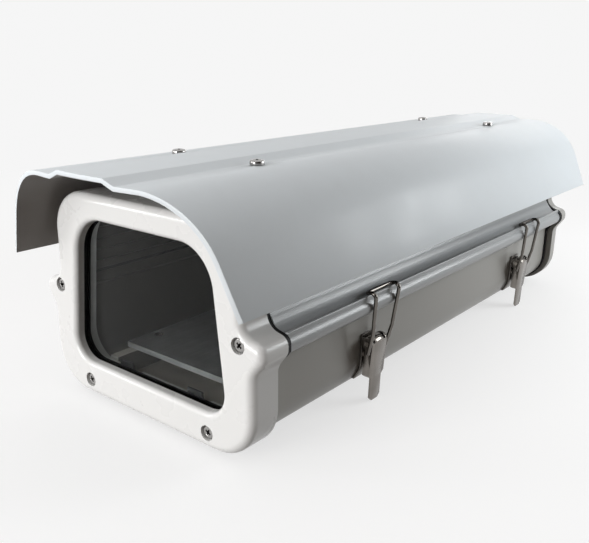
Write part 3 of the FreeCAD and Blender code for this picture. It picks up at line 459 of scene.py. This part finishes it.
WELD = 0.000005
QUAD_FACE_LIMIT = 0.02
QUAD_SHAPE_LIMIT = 3.1
COPLANAR = math.radians(0.4)
SMOOTH_ANGLE = 32.0
BEVEL_ANGLE = 35.0
DOWNWARD = -0.9  # a normal's height below which a face looks down
TOUCH = 1e-6


def only(item):
    """Select just this object and make it active."""
    if bpy.context.object and bpy.context.object.mode != "OBJECT":
        leave_edit()
    bpy.ops.object.select_all(action="DESELECT")
    item.select_set(True)
    bpy.context.view_layer.objects.active = item


def enter_edit(item):
    only(item)
    bpy.ops.object.mode_set(mode="EDIT")


def leave_edit():
    bpy.ops.object.mode_set(mode="OBJECT")


def apply_modifiers(item):
    only(item)
    for modifier in list(item.modifiers):
        bpy.ops.object.modifier_apply(modifier=modifier.name)


def add_bevel(item, width, segments=2, angle=BEVEL_ANGLE):
    modifier = item.modifiers.new("edge", "BEVEL")
    modifier.width = width
    modifier.segments = segments
    modifier.limit_method = "ANGLE"
    modifier.angle_limit = math.radians(angle)
    apply_modifiers(item)


def smooth(item, angle=SMOOTH_ANGLE):
    only(item)
    bpy.ops.object.shade_smooth_by_angle(angle=math.radians(angle))


def settle_place(item):
    only(item)
    bpy.ops.object.transform_apply(location=True, rotation=True, scale=True)


def slot_of_node(node):
    for entry in frame["record"]["subparts"]:
        if entry["node"] == node:
            return entry["material_slot"]
    raise ValueError(node)


def stand_for(item, node):
    """The finished piece takes over from a CAD node."""
    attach(item, frame["nodes"][node]["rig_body"])
    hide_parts(node)


def merged_copy(node, name):
    """A copy of a CAD node with its loose triangles joined up."""
    mesh = frame["nodes"][node].data.copy()
    mesh.name = name
    item = bpy.data.objects.new(name, mesh)
    bpy.context.scene.collection.objects.link(item)
    enter_edit(item)
    bpy.ops.mesh.select_all(action="SELECT")
    bpy.ops.mesh.remove_doubles(threshold=WELD)
    bpy.ops.mesh.tris_convert_to_quads(face_threshold=QUAD_FACE_LIMIT,
                                       shape_threshold=QUAD_SHAPE_LIMIT)
    bpy.ops.mesh.dissolve_limited(angle_limit=COPLANAR)
    leave_edit()
    return item


def softened(node, name, width, slot=None):
    """A finished copy of a CAD node with small rounded edges and smooth curved faces."""
    item = merged_copy(node, name)
    add_bevel(item, width)
    smooth(item)
    give(item, slot or slot_of_node(node))
    stand_for(item, node)


def choose(item, kind, test):
    """Go into edit mode and select the faces or edges that pass the test."""
    enter_edit(item)
    bpy.ops.mesh.select_mode(type=kind)
    bpy.ops.mesh.select_all(action="DESELECT")
    mesh = bmesh.from_edit_mesh(item.data)
    for part in (mesh.faces if kind == "FACE" else mesh.edges):
        if test(part):
            part.select_set(True)
    bmesh.update_edit_mesh(item.data)


def looks_down(face):
    return face.normal.z < DOWNWARD


def carve(item, cutter):
    """Take the cutter's shape out of the item and delete the cutter."""
    modifier = item.modifiers.new("carve", "BOOLEAN")
    modifier.operation = "DIFFERENCE"
    modifier.solver = "EXACT"
    modifier.object = cutter
    apply_modifiers(item)
    bpy.data.objects.remove(cutter, do_unlink=True)


def solids_of(node):
    """Lowest and highest corners of each separate solid in a CAD node."""
    only(merged_copy(node, node + "_parts"))
    bpy.ops.mesh.separate(type="LOOSE")
    boxes = []
    for part in list(bpy.context.selected_objects):
        corners = [vertex.co for vertex in part.data.vertices]
        low = Vector([min(corner[axis] for corner in corners) for axis in range(3)])
        high = Vector([max(corner[axis] for corner in corners) for axis in range(3)])
        boxes.append((low, high))
        bpy.data.objects.remove(part, do_unlink=True)
    return boxes


def joined(items, name):
    only(items[0])
    for item in items:
        item.select_set(True)
    bpy.ops.object.join()
    items[0].name = name
    return items[0]


# screws: sizes in metres, the shares below are of the head's radius or height

FRONT = Vector((0.0, -1.0, 0.0))
UP = Vector((0.0, 0.0, 1.0))
HEAD_TALL = 0.0024
HEAD_SIDES = 40
DOME_STEPS = 6
DOME_PROFILE = 0.6
HEAD_EDGE = 0.00006
STEM_TIP = (0.75, 0.75, 1.0)
CROSS_LONG, CROSS_WIDE, CROSS_DEEP = 1.4, 0.36, 0.6
CROSS_FLOOR = (0.42, 0.62, 1.0)
RECESS = "recess"
RECESS_REACH = 0.66
RECESS_LOW, RECESS_HIGH = 0.2, 0.97

ScrewKind = namedtuple("ScrewKind", "node piece outward width crown stem_radius twist")
SCREW_KINDS = (
    ScrewKind("bezel_screws", "bezel_cross_screws", FRONT, "head", 0.0010, 0.0017, 0.9),
    ScrewKind("rear_cap_screws", "cap_cross_screws", -FRONT, "head", 0.0010, 0.0017, 0.7),
    ScrewKind("sunshield_screws", "shield_cross_screws", UP, "shield_head", 0.0015, 0.0020, 0.8),
)


def taper_bar(length, width, depth, top):
    """One bar of the cross recess, narrower at its floor."""
    bpy.ops.mesh.primitive_cube_add(size=1.0, location=(0.0, 0.0, 0.0))
    bar = bpy.context.object
    bar.scale = (length, width, 2.0 * depth)
    bar.location.z = top
    settle_place(bar)
    choose(bar, "FACE", looks_down)
    bpy.ops.transform.resize(value=CROSS_FLOOR, center_override=(0.0, 0.0, top - depth))
    leave_edit()
    return bar


def cross_screw(head_radius, crown, stem_radius, stem_long):
    """Pan head with a cross recess, its stem drawn down from the underside; axis along Z."""
    bpy.ops.object.select_all(action="DESELECT")
    bpy.ops.mesh.primitive_cylinder_add(vertices=HEAD_SIDES, radius=head_radius,
                                        depth=HEAD_TALL, location=(0.0, 0.0, HEAD_TALL / 2))
    item = bpy.context.object
    settle_place(item)
    choose(item, "FACE", looks_down)
    bpy.ops.mesh.inset(thickness=head_radius - stem_radius)
    bpy.ops.mesh.extrude_region_move(TRANSFORM_OT_translate={"value": (0.0, 0.0, -stem_long)})
    bpy.ops.transform.resize(value=STEM_TIP, center_override=(0.0, 0.0, -stem_long))
    leave_edit()
    choose(item, "EDGE",
           lambda edge: all(abs(vertex.co.z - HEAD_TALL) < TOUCH for vertex in edge.verts))
    bpy.ops.mesh.bevel(offset=crown, segments=DOME_STEPS, profile=DOME_PROFILE)
    leave_edit()
    for turn in (0.0, math.pi / 2):
        bar = taper_bar(CROSS_LONG * head_radius, CROSS_WIDE * head_radius,
                        CROSS_DEEP * HEAD_TALL, HEAD_TALL)
        bar.rotation_euler.z = turn
        settle_place(bar)
        carve(item, bar)
    add_bevel(item, HEAD_EDGE, segments=1, angle=40.0)
    smooth(item, angle=30.0)
    shade_recess(item, head_radius)
    return item


def shade_recess(item, head_radius):
    """Mark the faces inside the cross, where shade falls, for the steel's painted shade."""
    mark = item.data.attributes.new(RECESS, "FLOAT", "FACE")
    for face in item.data.polygons:
        centre = face.center
        inside = math.hypot(centre.x, centre.y) < RECESS_REACH * head_radius
        below = RECESS_LOW * HEAD_TALL < centre.z < RECESS_HIGH * HEAD_TALL
        mark.data[face.index].value = 1.0 if inside and below else 0.0


def screw_set(kind):
    """Put a copy of one modelled screw wherever the CAD has one."""
    boxes = solids_of(kind.node)
    turn = kind.outward.to_track_quat("Z", "Y").to_matrix().to_4x4()
    along = 1 if abs(kind.outward.y) > 0.5 else 2
    stem_long = boxes[0][1][along] - boxes[0][0][along] - HEAD_TALL
    first = cross_screw(getattr(sizes(), kind.width) / 2, kind.crown, kind.stem_radius, stem_long)
    copies = []
    for count, (low, high) in enumerate(boxes, start=1):
        copy = first.copy()
        copy.data = first.data.copy()
        bpy.context.scene.collection.objects.link(copy)
        seat = (low + high) / 2
        if kind.outward[along] > 0:
            seat[along] = high[along] - HEAD_TALL
        else:
            seat[along] = low[along] + HEAD_TALL
        spin = Matrix.Rotation(kind.twist * count, 4, "Z")
        copy.matrix_world = Matrix.Translation(seat) @ turn @ spin
        settle_place(copy)
        copies.append(copy)
    bpy.data.objects.remove(first, do_unlink=True)
    screws = joined(copies, kind.piece)
    give(screws, "screw_steel")
    stand_for(screws, kind.node)


# operators, one for each piece or group of like pieces

NODE_FINISHES = {"tray": "tray_paint"}


class HOUSING_OT_finishes(bpy.types.Operator):
    """Make the materials and put them on every CAD node"""
    bl_idname = "housing.finishes"
    bl_label = "Finishes"

    def execute(self, context):
        finish_materials()
        for node, item in frame["nodes"].items():
            give(item, NODE_FINISHES.get(node, slot_of_node(node)))
        return {"FINISHED"}


class HOUSING_OT_screws(bpy.types.Operator):
    """Cross-head screws of the bezel, the rear cap and the sunshield"""
    bl_idname = "housing.screws"
    bl_label = "Screws"

    def execute(self, context):
        for kind in SCREW_KINDS:
            screw_set(kind)
        return {"FINISHED"}


class HOUSING_OT_sunshield(bpy.types.Operator):
    """Folded sunshield with broken sheet edges"""
    bl_idname = "housing.sunshield"
    bl_label = "Sunshield"

    def execute(self, context):
        softened("sunshield", "folded_sunshield", sizes().edge)
        return {"FINISHED"}


class HOUSING_OT_glands(bpy.types.Operator):
    """Cable glands with broken edges on their hexagons"""
    bl_idname = "housing.glands"
    bl_label = "Cable glands"

    def execute(self, context):
        for side in ("right", "left"):
            for part in ("body", "nut", "locknut"):
                node = "%s_gland_%s" % (side, part)
                softened(node, node + "_finished", 2 * sizes().edge)
        return {"FINISHED"}


class HOUSING_OT_latches(bpy.types.Operator):
    """Latch levers and brackets with broken sheet edges"""
    bl_idname = "housing.latches"
    bl_label = "Latches"

    def execute(self, context):
        for side in ("front", "rear"):
            softened(side + "_latch_lever", side + "_lever_sheet", sizes().edge, "latch_steel")
            softened(side + "_latch_base", side + "_bracket_sheet", sizes().edge,
                     "bracket_steel")
        return {"FINISHED"}


class HOUSING_OT_stage(bpy.types.Operator):
    """Floor, backdrop, lamps and camera"""
    bl_idname = "housing.stage"
    bl_label = "Stage"

    def execute(self, context):
        place_camera()
        lay_floor()
        stand_card()
        light_room()
        for kind in LAMPS:
            hang_lamp(kind)
        return {"FINISHED"}


# camera, solved from the photograph

CAMERA_AZIMUTH = math.radians(38.75)
CAMERA_HEIGHT = math.radians(17.23)
CAMERA_ROLL = math.radians(0.58)
CAMERA_PLACE = (0.2525, -0.3777, 0.1762)
SENSOR_WIDTH = 36.0
FOCUS_PIXELS = 716.5
PHOTO_PIXELS = 589.0
CLIP_START = 0.01


def place_camera():
    level = math.cos(CAMERA_HEIGHT)
    back = Vector((math.sin(CAMERA_AZIMUTH) * level, -math.cos(CAMERA_AZIMUTH) * level,
                   math.sin(CAMERA_HEIGHT)))
    right = Vector((math.cos(CAMERA_AZIMUTH), math.sin(CAMERA_AZIMUTH), 0.0))
    upward = back.cross(right)
    right_rolled = right * math.cos(CAMERA_ROLL) + upward * math.sin(CAMERA_ROLL)
    up_rolled = upward * math.cos(CAMERA_ROLL) - right * math.sin(CAMERA_ROLL)
    turn = Matrix((right_rolled, up_rolled, back)).transposed().to_4x4()
    lens = bpy.data.cameras.new("photo_camera")
    lens.sensor_width = SENSOR_WIDTH
    lens.lens = SENSOR_WIDTH * FOCUS_PIXELS / PHOTO_PIXELS
    lens.clip_start = CLIP_START
    item = bpy.data.objects.new("photo_camera", lens)
    bpy.context.scene.collection.objects.link(item)
    item.matrix_world = Matrix.Translation(CAMERA_PLACE) @ turn
    bpy.context.scene.camera = item
    bpy.context.scene.view_settings.view_transform = "Standard"


# floor, card and room

BACKDROP = (0.92, 0.92, 0.92)
FLOOR_SIZE = 40.0
FLOOR_SEEN = (0.94, 0.94, 0.94)
FLOOR_BOUNCE = (0.11, 0.09, 0.072)
SHADOW_REACH, SHADOW_END = 0.25, 0.75  # the floor keeps its shadow up to the first
NEAR_SHARE = 0.60  # of the backdrop's glow in the floor near the housing
NEAR_GLOW = 1.17  # strength of that glow there

CARD_SIZE = (1.5, 1.2, 1.0)
CARD_PLACE = (0.95, -0.60, 0.62)
CARD_FRONT = -1.3
CARD_WING = (-0.55, -0.35, 0.0)
CARD_COLOUR = (0.05, 0.042, 0.036)

BRIGHT_SIDE = (-0.60, 0.15, 0.80)
DARK_END, BRIGHT_END = -0.2, 0.9
DARK_LEVEL, BRIGHT_LEVEL = 0.02, 0.78
WARM_SHADE = (0.85, 0.74, 0.66)
COOL_LIGHT = (0.95, 0.98, 1.0)


def lay_floor():
    bpy.ops.object.select_all(action="DESELECT")
    bpy.ops.mesh.primitive_plane_add(size=FLOOR_SIZE, location=(0.0, 0.0, 0.0))
    floor = bpy.context.object
    floor.name = "floor"
    floor.data.materials.append(pale_floor())


def stand_card():
    """Folded dark card off to the right that shades that side and gives the steel its contrast."""
    bpy.ops.object.select_all(action="DESELECT")
    bpy.ops.mesh.primitive_plane_add(size=1.0, location=(0.0, 0.0, 0.0))
    card = bpy.context.object
    card.name = "shade_card"
    card.scale = CARD_SIZE
    card.rotation_euler = (math.pi / 2, 0.0, math.pi / 2)
    card.location = CARD_PLACE
    settle_place(card)
    choose(card, "EDGE", lambda edge: all(vertex.co.y < CARD_FRONT for vertex in edge.verts))
    bpy.ops.mesh.extrude_region_move(TRANSFORM_OT_translate={"value": CARD_WING})
    leave_edit()
    material, _, _, shader = new_material("dark_card")
    shader.inputs["Base Color"].default_value = opaque(CARD_COLOUR)
    shader.inputs["Roughness"].default_value = 0.9
    card.data.materials.append(material)
    card.visible_camera = False


def seeing_rays(nodes, links):
    """Mask of camera, glossy and transmission rays, which all see the pale background."""
    path = nodes.new("ShaderNodeLightPath").outputs
    mirror = maths(nodes, links, "MAXIMUM", path["Is Glossy Ray"], path["Is Transmission Ray"])
    return maths(nodes, links, "MAXIMUM", path["Is Camera Ray"], mirror)


def mix_shaders(nodes, links, factor, first, second, output):
    mix = nodes.new("ShaderNodeMixShader")
    links.new(factor, mix.inputs[0])
    links.new(first.outputs[0], mix.inputs[1])
    links.new(second.outputs[0], mix.inputs[2])
    links.new(mix.outputs[0], output.inputs["Surface"])


def pale_floor():
    """Pale floor that keeps the shadow near the housing and fades into the backdrop."""
    material, nodes, links, shader = new_material("pale_floor")
    shader.inputs["Roughness"].default_value = 0.9
    shader.inputs["Specular IOR Level"].default_value = 0.1
    seen = seeing_rays(nodes, links)
    links.new(mix_colour(nodes, links, seen, FLOOR_BOUNCE, FLOOR_SEEN),
              shader.inputs["Base Color"])
    place = nodes.new("ShaderNodeTexCoord").outputs["Object"]
    reach = vector_maths(nodes, links, "LENGTH", place)
    fade = spread(nodes, links, reach, SHADOW_REACH, SHADOW_END, low=NEAR_SHARE,
                  smooth_step=True)
    glow = nodes.new("ShaderNodeEmission")
    glow.inputs["Color"].default_value = opaque(BACKDROP)
    links.new(spread(nodes, links, fade, NEAR_SHARE, 1.0, low=NEAR_GLOW), glow.inputs["Strength"])
    mix_shaders(nodes, links, maths(nodes, links, "MULTIPLY", fade, seen), shader, glow,
                nodes["Material Output"])
    return material


def light_room():
    """Soft light that falls from the upper left, in front of a plain pale background."""
    world = bpy.data.worlds.new("pale_room")
    bpy.context.scene.world = world
    world.use_nodes = True
    nodes, links = world.node_tree.nodes, world.node_tree.links
    room = nodes["Background"]
    place = nodes.new("ShaderNodeTexCoord").outputs["Generated"]
    side = vector_maths(nodes, links, "DOT_PRODUCT", place, Vector(BRIGHT_SIDE).normalized())
    level = spread(nodes, links, side, DARK_END, BRIGHT_END, DARK_LEVEL, BRIGHT_LEVEL)
    links.new(level, room.inputs["Strength"])
    links.new(mix_colour(nodes, links, level, WARM_SHADE, COOL_LIGHT), room.inputs["Color"])
    seen = nodes.new("ShaderNodeBackground")
    seen.inputs["Color"].default_value = opaque(BACKDROP)
    mix_shaders(nodes, links, seeing_rays(nodes, links), room, seen, nodes["World Output"])


# lamps; power is a share of the sidebar's key light

WHITE = (1.0, 1.0, 1.0)
Lamp = namedtuple("Lamp", "name place target width power colour")
LAMPS = (
    Lamp("key_lamp", (-0.25, -1.5, 0.27), (0.0, -0.15, 0.06), 0.8, 0.90, WHITE),
    Lamp("rear_lamp", (0.38, 0.34, 0.21), (0.05, 0.08, 0.09), 0.25, 0.062, (0.94, 0.98, 1.0)),
    Lamp("left_lamp", (-1.10, -1.00, 0.38), (0.0, -0.15, 0.08), 0.35, 0.13, WHITE),
    Lamp("back_lamp", (-0.35, 1.5, 0.25), (0.0, 0.1, 0.06), 0.6, 0.10, WHITE),
)


def hang_lamp(kind):
    data = bpy.data.lights.new(kind.name, "AREA")
    data.shape = "SQUARE"
    data.size = kind.width
    data.energy = kind.power * sizes().key_light
    data.color = kind.colour
    item = bpy.data.objects.new(kind.name, data)
    bpy.context.scene.collection.objects.link(item)
    item.location = kind.place
    aim = Vector(kind.target) - Vector(kind.place)
    item.rotation_euler = aim.to_track_quat("-Z", "Y").to_euler()
    item.visible_camera = False


# sidebar and registration

class HOUSING_PT_panel(bpy.types.Panel):
    """Lists the steps in the sidebar"""
    bl_idname = "HOUSING_PT_panel"
    bl_label = "Camera housing"
    bl_space_type = "VIEW_3D"
    bl_region_type = "UI"
    bl_category = "Housing"

    def draw(self, context):
        for step in STEPS:
            self.layout.operator(step.bl_idname)


STEPS = [
    HOUSING_OT_finishes,
    HOUSING_OT_sunshield,
    HOUSING_OT_screws,
    HOUSING_OT_latches,
    HOUSING_OT_glands,
    HOUSING_OT_stage,
]
CLASSES = [PaintColours, PieceSizes] + STEPS + [HOUSING_PT_panel]


def register():
    for item in CLASSES:
        bpy.utils.register_class(item)
    bpy.types.Scene.housing_paint = PointerProperty(type=PaintColours)
    bpy.types.Scene.housing_sizes = PointerProperty(type=PieceSizes)


def unregister():
    del bpy.types.Scene.housing_sizes
    del bpy.types.Scene.housing_paint
    for item in reversed(CLASSES):
        bpy.utils.unregister_class(item)


def main():
    register()
    for step in STEPS:
        group, name = step.bl_idname.split(".")
        getattr(getattr(bpy.ops, group), name)()


if __name__ == "__main__":
    main()
